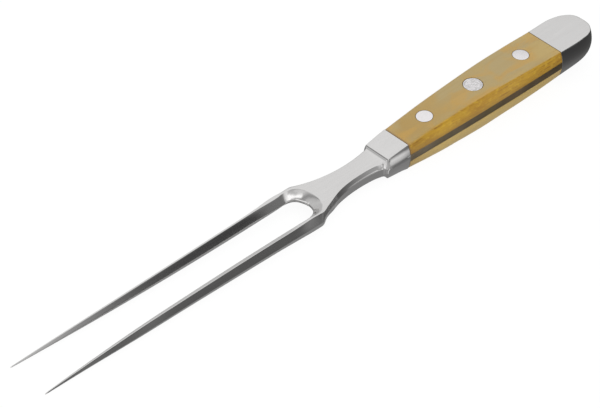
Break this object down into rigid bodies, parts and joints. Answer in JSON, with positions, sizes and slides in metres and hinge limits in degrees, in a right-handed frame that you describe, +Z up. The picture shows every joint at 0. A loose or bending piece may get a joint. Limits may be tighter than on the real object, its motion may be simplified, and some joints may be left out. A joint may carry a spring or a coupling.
{
  "type": "meat fork",
  "caption": "Carving fork with long straight tines, a waisted neck, a forged bolster, riveted wooden handle scales and a rounded steel butt cap.",
  "frame": {"origin": "on the table plane, under the middle of the fork's outline as it lies", "axes": "+X along the fork from the tips to the butt, +Y across it, +Z up as it lies on the flat of its lower scale"},
  "size_m": [0.3, 0.0228, 0.0166],
  "materials": {
    "forged_steel": "fine satin polish",
    "pale_wood": "oiled, smooth",
    "rivet_steel": "polished flush"
  },
  "bodies": {
    "root": {"fork_forging": "forged_steel", "upper_scale": "pale_wood", "lower_scale": "pale_wood", "front_rivet_tube": "rivet_steel", "front_rivet_pin": "rivet_steel", "middle_rivet_tube": "rivet_steel", "middle_rivet_pin": "rivet_steel", "rear_rivet_tube": "rivet_steel", "rear_rivet_pin": "rivet_steel"}
  },
  "joints": []
}
